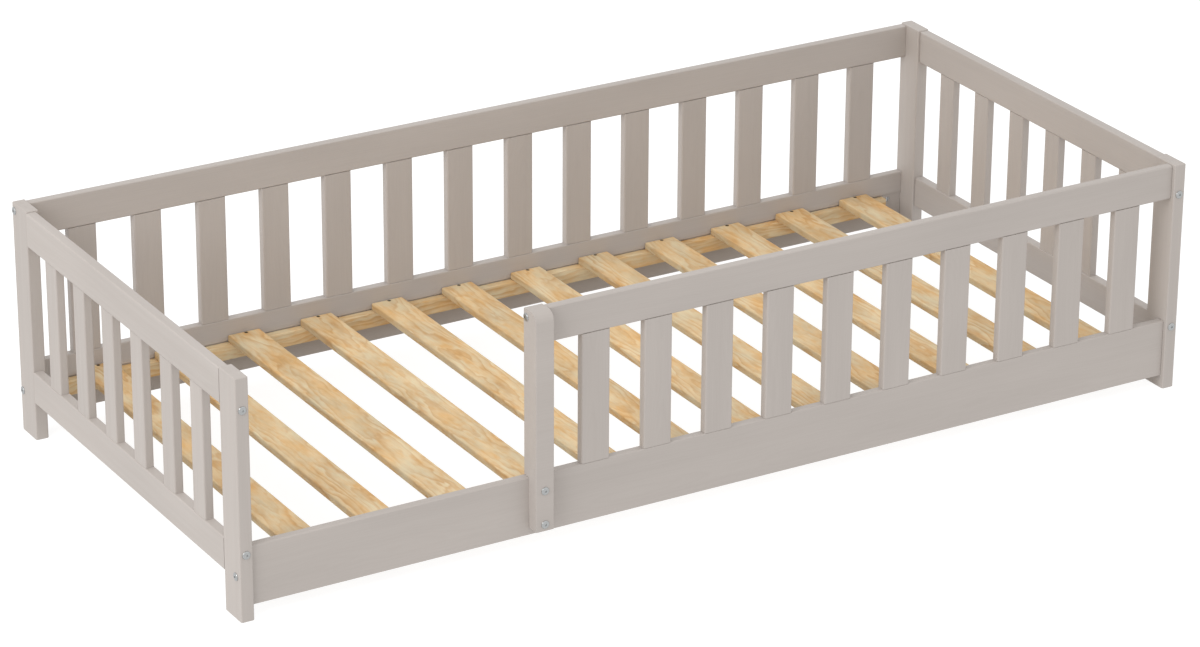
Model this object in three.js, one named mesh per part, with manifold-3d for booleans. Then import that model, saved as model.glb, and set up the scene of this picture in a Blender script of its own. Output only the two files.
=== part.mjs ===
// A low slatted bed for a small child: four corner posts, barred panels on all sides,
// an opening at the front beside an entry post, and pine slats on two ledgers.
// Millimetres. +X runs along the bed to its right end, +Y to the back, +Z up.
// The origin is on the floor, under the middle of the bed.
import * as THREE from "three";
import { mergeVertices } from "three/addons/utils/BufferGeometryUtils.js";
import Module from "manifold-3d";

// Overall, over the corner posts
const BED_LENGTH = 2060;
const BED_WIDTH = 952;
const BED_HEIGHT = 475;

// Corner posts: boards with their wide side along Y
const POST_THICKNESS = 26;
const POST_WIDTH = 64;
const POST_EASE = 2;

// Rails: heights are measured from the floor or down from the post tops
const TOP_RAIL_DROP = 2.5;
const TOP_RAIL_HEIGHT = 69;
const LOW_EDGE_TOP = 143.5; // the side boards and the low end rails end level here
const LOW_RAIL_HEIGHT = 65.5;
const END_RAIL_THICKNESS = 21;
const SIDE_THICKNESS = 18;
const SIDE_BOARD_BASE = 27;
const FRONT_SETBACK = 8.5;
const BACK_SETBACK = 1;
const RAIL_ROUND = 3;

// Upright bars
const BAR_THICKNESS = SIDE_THICKNESS; // flush with the side boards and long rails
const BAR_ROUND = 3;
const SIDE_BAR_WIDTH = 59;
const END_BAR_WIDTH = 48;
const BACK_BARS = 14;
const GUARD_BARS = 10;
const END_BARS = 6;
const MORTISE_DEPTH = 15;
const TENON_THICKNESS = 8;
const TENON_SHOULDER = 6; // a bar's width left beside its tenon, on each side
const TENON_ROUND = 1;

// Entry post, which laps the front board and carries the guard rail's end
const ENTRY_OPENING = 566.3; // clear width between the left post and the entry post
const ENTRY_WIDTH = 38;
const ENTRY_PROUD = 18; // how far it stands in front of the corner posts
const ENTRY_RAISE = 14; // from the front board's lower edge to the post's base
const ENTRY_NOSE = 20; // radius of its front top corner
const ENTRY_HEEL = 2; // radius of its back top corner

// Slats and the ledgers under their ends
const SLATS = 12;
const SLAT_WIDTH = 70;
const SLAT_THICKNESS = 15;
const SLAT_MARGIN = 89; // from each corner post to the nearest slat
const SLAT_END_GAP = 1.5;
const SLAT_ROUND = 3;
const LEDGER_DROP = 48.5; // from the side boards' upper edge to the ledger's top
const LEDGER_HEIGHT = 31;
const LEDGER_THICKNESS = 18;
const LEDGER_EASE = 1.5;
const LEDGER_SHORT = 48; // from each post to the ledger's end
const REBATE_DEPTH = 2.5; // step on the boards' inner faces
const REBATE_ABOVE = 3; // from the ledger's top up to that step

// Bolts with a low round head, a hexagon socket and, in the side boards, a barrel nut
const HEAD_RADIUS = 8;
const HEAD_HEIGHT = 2.6;
const HEAD_CHAMFER = 1;
const SHANK_RADIUS = 3;
const SOCKET_RADIUS = 2.4;
const SOCKET_DEPTH = 1.6;
const BOLT_CLEARANCE = 0.5;
const SIDE_BOLT_REACH = 48; // past the post, into a side board or a long rail
const END_BOLT_REACH = 38; // past the post, into an end rail
const NUT_RADIUS = 5;
const NUT_SETBACK = 32; // from the post's face to the nut's axis
const NUT_RECESS = 0.5; // below the board's inner face
const NUT_COVER = 2; // wood left between the nut and the board's outer face
const TOP_BOLT_ABOVE = 9; // the end rails' top bolt, above the rail's lower edge
const LOW_BOLT_BELOW = 12; // the end rails' low bolt, below the rail's upper edge
const LONG_RAIL_BOLT_BELOW = 13.5; // long rails' end bolts, below the rail's upper edge
const LAP_BOLT_UPPER_BELOW = 21.5; // the entry post's upper bolt, below the board's upper edge
const LAP_BOLT_LOWER_ABOVE = 13; // its lower bolt, above the post's base
const LAP_BOLT_COVER = 4; // wood left between a lap bolt's tip and the board's inner face

const GAP = 0.3; // between pieces that touch
const ROUND_STEPS = 2; // straight steps in a rounded corner
const NOSE_STEPS = 6; // and in the entry post's
const HOLE_SIDES = 10;
const HEAD_SIDES = 12;

// Places that follow from the sizes above
const LEFT = -BED_LENGTH / 2;
const RIGHT = BED_LENGTH / 2;
const FRONT = (ENTRY_PROUD + HEAD_HEIGHT - BED_WIDTH) / 2; // the corner posts' front face
const BACK = FRONT + BED_WIDTH;
const INNER_LEFT = LEFT + POST_THICKNESS;
const INNER_RIGHT = RIGHT - POST_THICKNESS;
const TOP_RAIL_TOP = BED_HEIGHT - TOP_RAIL_DROP;
const TOP_RAIL_BASE = TOP_RAIL_TOP - TOP_RAIL_HEIGHT;
const LOW_RAIL_BASE = LOW_EDGE_TOP - LOW_RAIL_HEIGHT;
const FRONT_BOARD_Y = FRONT + FRONT_SETBACK + SIDE_THICKNESS / 2;
const BACK_BOARD_Y = BACK - BACK_SETBACK - SIDE_THICKNESS / 2;
const SIDE_BOARD_MID_Z = (SIDE_BOARD_BASE + LOW_EDGE_TOP) / 2;
const ENTRY_LEFT = INNER_LEFT + ENTRY_OPENING;
const ENTRY_RIGHT = ENTRY_LEFT + ENTRY_WIDTH;
const ENTRY_FRONT = FRONT - ENTRY_PROUD;
const ENTRY_BASE = SIDE_BOARD_BASE + ENTRY_RAISE;
const LEDGER_TOP = LOW_EDGE_TOP - LEDGER_DROP;
const SLAT_PITCH = (INNER_RIGHT - INNER_LEFT - 2 * SLAT_MARGIN - SLAT_WIDTH) / (SLATS - 1);
const NUT_LENGTH = SIDE_THICKNESS - REBATE_DEPTH - NUT_RECESS - NUT_COVER;
const LAP_BOLTS_Z = [LOW_EDGE_TOP - LAP_BOLT_UPPER_BELOW, ENTRY_BASE + LAP_BOLT_LOWER_ABOVE];
const LONG_RAIL_BOLT_Z = TOP_RAIL_TOP - LONG_RAIL_BOLT_BELOW;
const TOP_BOLT_Z = TOP_RAIL_BASE + TOP_BOLT_ABOVE;
const LOW_BOLT_Z = LOW_EDGE_TOP - LOW_BOLT_BELOW;

const paint = new THREE.MeshStandardMaterial({ color: 0xc4bdb6, roughness: 0.5, metalness: 0 });
const pine = new THREE.MeshStandardMaterial({ color: 0xdcbf92, roughness: 0.6, metalness: 0 });
const zinc = new THREE.MeshStandardMaterial({ color: 0xb9bcc0, roughness: 0.35, metalness: 1 });

const wasm = await Module();
wasm.setup();

function solid(geometry) {
  const bare = geometry.clone();
  bare.deleteAttribute("normal");
  bare.deleteAttribute("uv");
  const merged = mergeVertices(bare, 1e-4);
  return new wasm.Manifold(
    new wasm.Mesh({
      numProp: 3,
      vertProperties: merged.attributes.position.array,
      triVerts: new Uint32Array(merged.index.array),
    }),
  );
}

function geometryOf(body) {
  const mesh = body.getMesh();
  const geometry = new THREE.BufferGeometry();
  geometry.setAttribute("position", new THREE.BufferAttribute(mesh.vertProperties, 3));
  geometry.setIndex(new THREE.BufferAttribute(mesh.triVerts, 1));
  geometry.computeVertexNormals();
  return geometry;
}

// Points of a quarter turn about (x, y), anticlockwise from the given quarter.
function quarter(x, y, radius, startQuarter, steps = ROUND_STEPS) {
  return Array.from({ length: steps + 1 }, (_, i) => {
    const angle = (startQuarter + i / steps) * (Math.PI / 2);
    return [x + radius * Math.cos(angle), y + radius * Math.sin(angle)];
  });
}

const outlineOf = (points) => new THREE.Shape(points.map(([x, y]) => new THREE.Vector2(x, y)));

// A rectangle about the origin with its four corners rounded.
function evenRect(width, height, radius) {
  const x = width / 2 - radius;
  const y = height / 2 - radius;
  return outlineOf([
    ...quarter(x, y, radius, 0),
    ...quarter(-x, y, radius, 1),
    ...quarter(-x, -y, radius, 2),
    ...quarter(x, -y, radius, 3),
  ]);
}

// Turns that lay an extrusion's length along a world axis. Its outline's x and y become
// Y and Z for a piece along X, and -X and Z for a piece along Y.
const LAY = {
  X: new THREE.Matrix4().makeBasis(
    new THREE.Vector3(0, 1, 0), new THREE.Vector3(0, 0, 1), new THREE.Vector3(1, 0, 0),
  ),
  Y: new THREE.Matrix4().makeBasis(
    new THREE.Vector3(-1, 0, 0), new THREE.Vector3(0, 0, 1), new THREE.Vector3(0, 1, 0),
  ),
  Z: new THREE.Matrix4(),
};

// A straight stick of the given outline, centred on its length at (x, y, z).
function stick(axis, outline, length, [x, y, z]) {
  const geometry = new THREE.ExtrudeGeometry(outline, { depth: length, bevelEnabled: false });
  geometry.translate(0, 0, -length / 2).applyMatrix4(LAY[axis]).translate(x, y, z);
  return solid(geometry);
}

// A round or six-sided cutter or pin along an axis.
function pin(axis, radius, length, [x, y, z], sides = HOLE_SIDES) {
  const geometry = new THREE.CylinderGeometry(radius, radius, length, sides);
  geometry.rotateX(Math.PI / 2).applyMatrix4(LAY[axis]).translate(x, y, z);
  return solid(geometry);
}

// Every bolted joint: which way the bolt points, where its head seats, and its reach.
const post = (x, y) => ({
  x: x < 0 ? LEFT + POST_THICKNESS / 2 : RIGHT - POST_THICKNESS / 2,
  y: y < 0 ? FRONT + POST_WIDTH / 2 : BACK - POST_WIDTH / 2,
});

function alongX(side, y, z, hasNut) {
  const length = POST_THICKNESS + SIDE_BOLT_REACH;
  return { axis: "X", points: -side, seat: [side < 0 ? LEFT : RIGHT, y, z], length, hasNut };
}

function alongY(side, x, z) {
  const length = POST_WIDTH + END_BOLT_REACH;
  return { axis: "Y", points: -side, seat: [x, side < 0 ? FRONT : BACK, z], length };
}

const BOLTS = {
  front_left_top_rail_bolt: alongY(-1, post(-1, -1).x, TOP_BOLT_Z),
  front_left_low_rail_bolt: alongY(-1, post(-1, -1).x, LOW_BOLT_Z),
  front_right_top_rail_bolt: alongY(-1, post(1, -1).x, TOP_BOLT_Z),
  front_right_low_rail_bolt: alongY(-1, post(1, -1).x, LOW_BOLT_Z),
  back_left_top_rail_bolt: alongY(1, post(-1, 1).x, TOP_BOLT_Z),
  back_left_low_rail_bolt: alongY(1, post(-1, 1).x, LOW_BOLT_Z),
  back_right_top_rail_bolt: alongY(1, post(1, 1).x, TOP_BOLT_Z),
  back_right_low_rail_bolt: alongY(1, post(1, 1).x, LOW_BOLT_Z),
  front_left_board_bolt: alongX(-1, FRONT_BOARD_Y, SIDE_BOARD_MID_Z, true),
  back_left_board_bolt: alongX(-1, BACK_BOARD_Y, SIDE_BOARD_MID_Z, true),
  front_right_board_bolt: alongX(1, FRONT_BOARD_Y, SIDE_BOARD_MID_Z, true),
  back_right_board_bolt: alongX(1, BACK_BOARD_Y, SIDE_BOARD_MID_Z, true),
  back_left_long_rail_bolt: alongX(-1, BACK_BOARD_Y, LONG_RAIL_BOLT_Z, false),
  back_right_long_rail_bolt: alongX(1, BACK_BOARD_Y, LONG_RAIL_BOLT_Z, false),
  guard_rail_right_bolt: alongX(1, FRONT_BOARD_Y, LONG_RAIL_BOLT_Z, false),
  guard_rail_entry_bolt: {
    axis: "X",
    points: 1,
    seat: [ENTRY_LEFT, FRONT_BOARD_Y, LONG_RAIL_BOLT_Z],
    length: ENTRY_WIDTH + SIDE_BOLT_REACH,
  },
};
LAP_BOLTS_Z.forEach((z, i) => {
  BOLTS[`entry_post_lap_bolt_${i + 1}`] = {
    axis: "Y",
    points: 1,
    seat: [(ENTRY_LEFT + ENTRY_RIGHT) / 2, ENTRY_FRONT, z],
    length: ENTRY_PROUD + FRONT_SETBACK + SIDE_THICKNESS - LAP_BOLT_COVER,
  };
});

// Bolts that have a piece of their own here; every bolt has its holes.
const MODELLED_BOLTS = [
  "front_left_top_rail_bolt",
  "front_left_low_rail_bolt",
  "front_left_board_bolt",
  "front_right_top_rail_bolt",
  "front_right_low_rail_bolt",
  "back_left_long_rail_bolt",
  "back_left_board_bolt",
  "back_right_board_bolt",
  "guard_rail_entry_bolt",
  "entry_post_lap_bolt_1",
  "entry_post_lap_bolt_2",
];

const AXIS_INDEX = { X: 0, Y: 1, Z: 2 };

// The point a distance along a bolt from the face its head seats on.
function along(bolt, distance) {
  const point = [...bolt.seat];
  point[AXIS_INDEX[bolt.axis]] += bolt.points * distance;
  return point;
}

const nutSide = (bolt) => (bolt.seat[1] < 0 ? 1 : -1); // towards the inside of the bed

// A barrel nut lies across its bolt, just inside the board's inner face.
function nutCentre(bolt, outwards = 0) {
  const [x, y, z] = along(bolt, POST_THICKNESS + NUT_SETBACK);
  const inner = y + nutSide(bolt) * (SIDE_THICKNESS / 2 - REBATE_DEPTH);
  return [x, inner - nutSide(bolt) * (NUT_LENGTH / 2 + NUT_RECESS - outwards), z];
}

const bolts = Object.values(BOLTS);
const holes = bolts.map((bolt) => {
  const length = bolt.length + GAP * 2;
  const centre = along(bolt, length / 2 - GAP);
  const drill = pin(bolt.axis, SHANK_RADIUS + BOLT_CLEARANCE, length + GAP * 2, centre);
  if (!bolt.hasNut) return drill;
  const mouth = NUT_RECESS + REBATE_DEPTH + GAP; // out through the board's inner face
  const depth = NUT_LENGTH + mouth + GAP;
  return drill.add(pin("Y", NUT_RADIUS + GAP, depth, nutCentre(bolt, (mouth - GAP) / 2)));
});

// Cuts a piece by every bolt hole that crosses it.
const drilled = (body) =>
  holes.reduce(
    (rest, hole) => (rest.intersect(hole).isEmpty() ? rest : rest.subtract(hole)),
    body,
  );

function boltBody(bolt) {
  const profile = [
    [0, -bolt.length],
    [SHANK_RADIUS, -bolt.length],
    [SHANK_RADIUS, GAP],
    [HEAD_RADIUS, GAP],
    [HEAD_RADIUS, HEAD_HEIGHT - HEAD_CHAMFER],
    [HEAD_RADIUS - HEAD_CHAMFER, HEAD_HEIGHT],
    [0, HEAD_HEIGHT],
  ].map(([x, y]) => new THREE.Vector2(x, y));
  const geometry = new THREE.LatheGeometry(profile, HEAD_SIDES);
  geometry.rotateX(Math.PI / 2); // the head faces +Z
  if (bolt.points > 0) geometry.rotateX(Math.PI); // the tip points along the axis
  const seat = new THREE.Matrix4().makeTranslation(...bolt.seat);
  geometry.applyMatrix4(LAY[bolt.axis]).applyMatrix4(seat);
  const socketAt = along(bolt, -HEAD_HEIGHT);
  const socket = pin(bolt.axis, SOCKET_RADIUS, SOCKET_DEPTH * 2, socketAt, 6);
  const body = solid(geometry).subtract(socket);
  if (!bolt.hasNut) return body;
  return body.add(pin("Y", NUT_RADIUS, NUT_LENGTH, nutCentre(bolt)));
}

const bed = new THREE.Group();

function addPiece(name, body, material) {
  const mesh = new THREE.Mesh(geometryOf(body), material);
  mesh.name = name;
  bed.add(mesh);
}

const two = (n) => String(n).padStart(2, "0");

// The middles of a row of bars that leaves equal gaps between two faces.
function barCentres(low, high, count, width) {
  const gap = (high - low - count * width) / (count + 1);
  return Array.from({ length: count }, (_, i) => low + gap + width / 2 + i * (gap + width));
}

// Corner posts
function cornerPost(x, y) {
  const middle = post(x, y);
  const outline = evenRect(POST_THICKNESS, POST_WIDTH, POST_EASE);
  return drilled(stick("Z", outline, BED_HEIGHT, [middle.x, middle.y, BED_HEIGHT / 2]));
}

// End grilles: two rails glued to their bars
function endGrille(side) {
  const x = side * (BED_LENGTH / 2 - END_RAIL_THICKNESS / 2);
  const from = FRONT + POST_WIDTH;
  const to = BACK - POST_WIDTH;
  const middle = (from + to) / 2;
  const length = to - from - GAP * 2;
  const rail = (base, height) =>
    stick("Y", evenRect(END_RAIL_THICKNESS, height, RAIL_ROUND), length, [
      x, middle, base + height / 2,
    ]);
  const bar = evenRect(BAR_THICKNESS, END_BAR_WIDTH, BAR_ROUND);
  const barBase = LOW_EDGE_TOP - MORTISE_DEPTH;
  const barTop = TOP_RAIL_BASE + MORTISE_DEPTH;
  const bars = barCentres(from, to, END_BARS, END_BAR_WIDTH).map((y) =>
    stick("Z", bar, barTop - barBase, [x, y, (barBase + barTop) / 2]),
  );
  const rails = rail(TOP_RAIL_BASE, TOP_RAIL_HEIGHT).add(rail(LOW_RAIL_BASE, LOW_RAIL_HEIGHT));
  return drilled(bars.reduce((grille, piece) => grille.add(piece), rails));
}

// The section of a side bar's tenon, or of its mortise when it is grown by a gap
function tenonOutline(grow) {
  const width = SIDE_BAR_WIDTH - (TENON_SHOULDER - grow) * 2;
  return evenRect(width, TENON_THICKNESS + grow * 2, TENON_ROUND + grow);
}

// A long rail or board with a row of mortises in its upper or lower edge
function longMember(y, from, to, base, top, outline, centres, mortiseFromTop) {
  let body = stick("X", outline, to - from - GAP * 2, [(from + to) / 2, y, (base + top) / 2]);
  const slot = tenonOutline(GAP);
  const edge = mortiseFromTop ? top : base;
  for (const x of centres) body = body.subtract(stick("Z", slot, MORTISE_DEPTH * 2, [x, y, edge]));
  return drilled(body);
}

const longRailOutline = evenRect(SIDE_THICKNESS, TOP_RAIL_HEIGHT, RAIL_ROUND);

// A side board's section, with a shallow rebate on its inner side for the ledger
function sideBoardOutline(innerSide) {
  const halfHeight = (LOW_EDGE_TOP - SIDE_BOARD_BASE) / 2;
  const half = SIDE_THICKNESS / 2;
  const step = LEDGER_TOP + REBATE_ABOVE - SIDE_BOARD_MID_Z;
  const thin = half - REBATE_DEPTH;
  const points = [
    [-half, -halfHeight],
    [thin, -halfHeight],
    [thin, step],
    [half, step],
    ...quarter(half - RAIL_ROUND, halfHeight - RAIL_ROUND, RAIL_ROUND, 0),
    ...quarter(-half + RAIL_ROUND, halfHeight - RAIL_ROUND, RAIL_ROUND, 1),
  ];
  return outlineOf(points.map(([x, y]) => [x * innerSide, y]));
}

// A side bar, with a tenon at each end
function looseBar(x, y) {
  const middle = [x, y, (LOW_EDGE_TOP + TOP_RAIL_BASE) / 2];
  const length = TOP_RAIL_BASE - LOW_EDGE_TOP - GAP * 2;
  const outline = evenRect(SIDE_BAR_WIDTH, BAR_THICKNESS, BAR_ROUND);
  const tenons = stick("Z", tenonOutline(0), length + MORTISE_DEPTH * 2, middle);
  return stick("Z", outline, length, middle).add(tenons);
}

// Entry post: an outline in Y and Z, notched behind to lap the board, round at its top
function entryPost() {
  const half = SIDE_THICKNESS / 2;
  const front = ENTRY_FRONT - FRONT_BOARD_Y;
  const lap = -half - GAP;
  const notch = LOW_EDGE_TOP + GAP;
  const outline = outlineOf([
    [front, ENTRY_BASE],
    [lap, ENTRY_BASE],
    [lap, notch],
    [half, notch],
    ...quarter(half - ENTRY_HEEL, BED_HEIGHT - ENTRY_HEEL, ENTRY_HEEL, 0),
    ...quarter(front + ENTRY_NOSE, BED_HEIGHT - ENTRY_NOSE, ENTRY_NOSE, 1, NOSE_STEPS),
  ]);
  const middle = (ENTRY_LEFT + ENTRY_RIGHT) / 2;
  return drilled(stick("X", outline, ENTRY_WIDTH, [middle, FRONT_BOARD_Y, 0]));
}

// A ledger on the inner face of a side board
function ledger(boardY, innerSide) {
  const face = boardY + innerSide * (SIDE_THICKNESS / 2 - REBATE_DEPTH + GAP);
  const y = face + innerSide * (LEDGER_THICKNESS / 2);
  const length = INNER_RIGHT - INNER_LEFT - 2 * LEDGER_SHORT;
  const z = LEDGER_TOP - LEDGER_HEIGHT / 2;
  const outline = evenRect(LEDGER_THICKNESS, LEDGER_HEIGHT, LEDGER_EASE);
  return stick("X", outline, length, [0, y, z]);
}

function slat(index) {
  const x = (index - (SLATS - 1) / 2) * SLAT_PITCH;
  const from = FRONT_BOARD_Y + SIDE_THICKNESS / 2 + SLAT_END_GAP;
  const to = BACK_BOARD_Y - SIDE_THICKNESS / 2 - SLAT_END_GAP;
  const outline = evenRect(SLAT_WIDTH, SLAT_THICKNESS, SLAT_ROUND);
  const z = LEDGER_TOP + GAP + SLAT_THICKNESS / 2;
  return stick("Y", outline, to - from, [x, (from + to) / 2, z]);
}

addPiece("front_left_post", cornerPost(-1, -1), paint);
addPiece("front_right_post", cornerPost(1, -1), paint);
addPiece("back_left_post", cornerPost(-1, 1), paint);
addPiece("back_right_post", cornerPost(1, 1), paint);
addPiece("left_end_grille", endGrille(-1), paint);
addPiece("right_end_grille", endGrille(1), paint);

const backCentres = barCentres(INNER_LEFT, INNER_RIGHT, BACK_BARS, SIDE_BAR_WIDTH);
const guardCentres = barCentres(ENTRY_RIGHT, INNER_RIGHT, GUARD_BARS, SIDE_BAR_WIDTH);
addPiece("back_top_rail", longMember(BACK_BOARD_Y, INNER_LEFT, INNER_RIGHT,
  TOP_RAIL_BASE, TOP_RAIL_TOP, longRailOutline, backCentres, false), paint);
addPiece("back_side_board", longMember(BACK_BOARD_Y, INNER_LEFT, INNER_RIGHT,
  SIDE_BOARD_BASE, LOW_EDGE_TOP, sideBoardOutline(-1), backCentres, true), paint);
addPiece("front_guard_rail", longMember(FRONT_BOARD_Y, ENTRY_RIGHT, INNER_RIGHT,
  TOP_RAIL_BASE, TOP_RAIL_TOP, longRailOutline, guardCentres, false), paint);
addPiece("front_side_board", longMember(FRONT_BOARD_Y, INNER_LEFT, INNER_RIGHT,
  SIDE_BOARD_BASE, LOW_EDGE_TOP, sideBoardOutline(1), guardCentres, true), paint);
backCentres.forEach((x, i) => addPiece(`back_bar_${two(i + 1)}`, looseBar(x, BACK_BOARD_Y), paint));
guardCentres.forEach((x, i) => addPiece(`guard_bar_${two(i + 1)}`, looseBar(x, FRONT_BOARD_Y), paint));
addPiece("entry_post", entryPost(), paint);

addPiece("back_ledger", ledger(BACK_BOARD_Y, -1), pine);
addPiece("front_ledger", ledger(FRONT_BOARD_Y, 1), pine);
for (let i = 0; i < SLATS; i++) addPiece(`slat_${two(i + 1)}`, slat(i), pine);

for (const name of MODELLED_BOLTS) addPiece(name, boltBody(BOLTS[name]), zinc);

export default bed;
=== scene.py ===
"""The finished look of a low slatted bed for a small child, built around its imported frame.

Metres throughout. +X runs along the bed to its right end, +Y to the back, +Z up.
A wooden piece is modelled along its own Z, which is the direction of its grain. Only the
entry post is modelled across its width, so that its nose and notch are in its outline.
"""

import math
from collections import namedtuple

import bmesh
import bpy
from bpy.props import FloatProperty, FloatVectorProperty, IntProperty, PointerProperty
from mathutils import Matrix, Vector


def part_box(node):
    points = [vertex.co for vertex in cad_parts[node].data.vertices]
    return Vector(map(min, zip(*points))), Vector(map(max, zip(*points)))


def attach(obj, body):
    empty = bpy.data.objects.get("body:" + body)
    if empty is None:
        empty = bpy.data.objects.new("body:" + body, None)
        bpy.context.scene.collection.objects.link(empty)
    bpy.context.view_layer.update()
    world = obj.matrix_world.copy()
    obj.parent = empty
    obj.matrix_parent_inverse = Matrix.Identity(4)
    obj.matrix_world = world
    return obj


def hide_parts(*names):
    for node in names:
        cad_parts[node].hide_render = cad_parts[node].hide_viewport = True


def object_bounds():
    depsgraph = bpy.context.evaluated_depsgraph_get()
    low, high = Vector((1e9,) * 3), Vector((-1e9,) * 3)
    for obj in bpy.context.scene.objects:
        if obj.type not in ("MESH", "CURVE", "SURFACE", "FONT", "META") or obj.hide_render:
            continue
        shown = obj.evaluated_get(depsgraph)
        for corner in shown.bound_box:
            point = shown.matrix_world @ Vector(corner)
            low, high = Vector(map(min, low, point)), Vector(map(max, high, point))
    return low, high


bl_info = {
    "name": "Slatted Toddler Bed",
    "version": (1, 0, 0),
    "blender": (4, 5, 0),
    "location": "View3D > Sidebar > Bed",
    "description": "Builds the painted panels, pine slats and steel fittings of a low bed",
    "category": "Add Mesh",
}

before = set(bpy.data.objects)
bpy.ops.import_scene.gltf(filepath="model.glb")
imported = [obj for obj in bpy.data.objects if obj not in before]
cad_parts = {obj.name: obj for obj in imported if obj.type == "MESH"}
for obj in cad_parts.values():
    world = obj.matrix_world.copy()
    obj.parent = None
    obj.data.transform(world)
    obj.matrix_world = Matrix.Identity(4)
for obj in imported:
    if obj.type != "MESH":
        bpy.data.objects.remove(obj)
cad_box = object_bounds()

MM = 0.001
FLOOR_HALF = 30.0  # half the floor's width
FLOOR_GLOW = 0.84  # light that the floor gives off itself, so shadows on it stay faint
# the patch under the bed is painted shade: a grey sheet hidden from the camera, whose dimness and
# faint glow stand in for the shaded floor that lights the bed's lower inner faces
SHADE_GLOW = 0.28  # the same, for the patch that stands in for the floor under the bed
SHADE_INSET = 30 * MM  # from the bed's outer box to that patch
HORIZON_BLUR = 0.02  # height over which the surround changes from ground to sky
KEY_PLACE = Vector((-6.0, -2.2, 4.2))
KEY_SIZE = 4.0
SENSOR_WIDTH = 36.0  # millimetres, as is the lens
VIEW_REACH = 100.0  # how far the camera sees
SHARP_ANGLE = math.radians(40)  # edges that turn more than this stay crisp
ARC_STEPS = 6  # in a quarter turn
EASE_STEPS = 3
ROUND_STEPS = 32  # in a turned piece
SMALL_ROUND_STEPS = 24  # in a narrow one, or in a small hole
DOME_STEPS = 8  # from a bolt head's rim to its flat
RECESS_TURN = 0.13  # radians, keeps recesses off the vertices of the heads that they cut
SOCKET_SPIN = 0.7  # radians from each bolt's socket to the next, so they stop at any angle
SCREW_SPIN = 40  # radians of a screw's turn for each metre along the bed

LEFT, RIGHT = -1, 1
FRONT, BACK = -1, 1


# ---------------------------------------------------------------------------
# Settings
# ---------------------------------------------------------------------------


def length_property(name, description, value, least=0.0):
    return FloatProperty(
        name=name, description=description, default=value, min=least,
        subtype="DISTANCE", unit="LENGTH", precision=4,
    )


def colour_property(name, description, value):
    return FloatVectorProperty(
        name=name, description=description, default=value, size=3,
        subtype="COLOR", min=0.0, max=1.0,
    )


class BED_PG_wood(bpy.types.PropertyGroup):
    """Sizes of the rounded and cut shapes of the wooden pieces"""

    post_round: length_property("Post Round", "Radius of a post's upright edges", 2.5 * MM)
    post_ease: length_property("Post Ease", "Radius where a post's top meets its sides", 2 * MM)
    foot_ease: length_property("Foot Ease", "Radius round a post's foot", 1 * MM)
    rail_round: length_property("Rail Round", "Radius of a rail's long edges", 3 * MM)
    bar_round: length_property("Bar Round", "Radius of a bar's upright edges", 3 * MM)
    end_ease: length_property("End Ease", "Radius round a rail's sawn ends", 0.6 * MM)
    low_rail_height: length_property("Low Rail Height", "Height of a low end rail", 65.5 * MM)
    end_bar_width: length_property("End Bar Width", "Width of a bar in an end grille", 48 * MM)
    end_bars: IntProperty(
        name="End Bars", description="Bars in each end grille", default=6, min=1, max=12
    )
    tenon_length: length_property("Tenon Length", "How far a bar goes into a rail", 14.7 * MM)
    tenon_thickness: length_property("Tenon Thickness", "Thickness of a bar's tenon", 8 * MM)
    tenon_shoulder: length_property("Tenon Shoulder", "Bar left beside its tenon", 6 * MM)
    tenon_round: length_property("Tenon Round", "Radius of a tenon's edges", 1 * MM)
    joint_gap: length_property("Joint Gap", "Gap where a bar meets a rail", 0.15 * MM)
    mortise_play: length_property("Mortise Play", "Gap round a tenon in its mortise", 0.25 * MM)
    rebate_depth: length_property("Rebate Depth", "Step inside the side boards", 2.5 * MM)
    rebate_above: length_property("Rebate Above", "From a ledger's top to the step", 3 * MM)
    nose_radius: length_property("Nose Radius", "Front top corner of the entry post", 20 * MM)
    heel_radius: length_property("Heel Radius", "Back top corner of the entry post", 2 * MM)
    entry_ease: length_property("Entry Ease", "Radius of the entry post's side edges", 1.5 * MM)
    slat_round: length_property("Slat Round", "Radius of a slat's long edges", 3 * MM)
    slat_ease: length_property("Slat Ease", "Radius round a slat's sawn ends", 1.2 * MM)
    ledger_ease: length_property("Ledger Ease", "Radius of a ledger's long edges", 1.5 * MM)


class BED_PG_fittings(bpy.types.PropertyGroup):
    """Sizes of the bolts, barrel nuts and screws"""

    head_radius: length_property("Head Radius", "Radius of a bolt's round head", 8 * MM)
    head_height: length_property("Head Height", "Height of a bolt's head", 2.6 * MM)
    head_rim: length_property("Head Rim", "Height of the head's upright rim", 0.8 * MM)
    socket_width: length_property("Socket Width", "Hexagon socket, across its flats", 4.2 * MM)
    socket_depth: length_property("Socket Depth", "Depth of the hexagon socket", 1.9 * MM)
    shank_radius: length_property("Shank Radius", "Radius of a bolt's shank", 3 * MM)
    hole_play: length_property("Hole Play", "Gap round a bolt in its hole", 0.5 * MM)
    side_reach: length_property("Side Reach", "Bolt past the post, into a long piece", 48 * MM)
    end_reach: length_property("End Reach", "Bolt past the post, into an end rail", 38 * MM)
    lap_cover: length_property("Lap Cover", "Wood left past a lap bolt's tip", 4 * MM)
    nut_radius: length_property("Nut Radius", "Radius of a barrel nut", 5 * MM)
    nut_recess: length_property("Nut Recess", "Barrel nut below the board's face", 0.5 * MM)
    nut_cover: length_property("Nut Cover", "Wood left behind a barrel nut", 2 * MM)
    nut_setback: length_property("Nut Setback", "From the post to a barrel nut", 32 * MM)
    screw_radius: length_property("Screw Head Radius", "Countersunk head's radius", 3.9 * MM)
    screw_sink: length_property("Screw Sink", "Head below the slat's face", 0.7 * MM)
    screw_length: length_property("Screw Length", "Overall length of a slat screw", 30 * MM)
    screw_offset: length_property("Screw Offset", "Screw off a slat's centre line", 3 * MM)
    screw_inset: length_property("Screw Inset", "Screw from a slat's end", 4.3 * MM)


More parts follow.
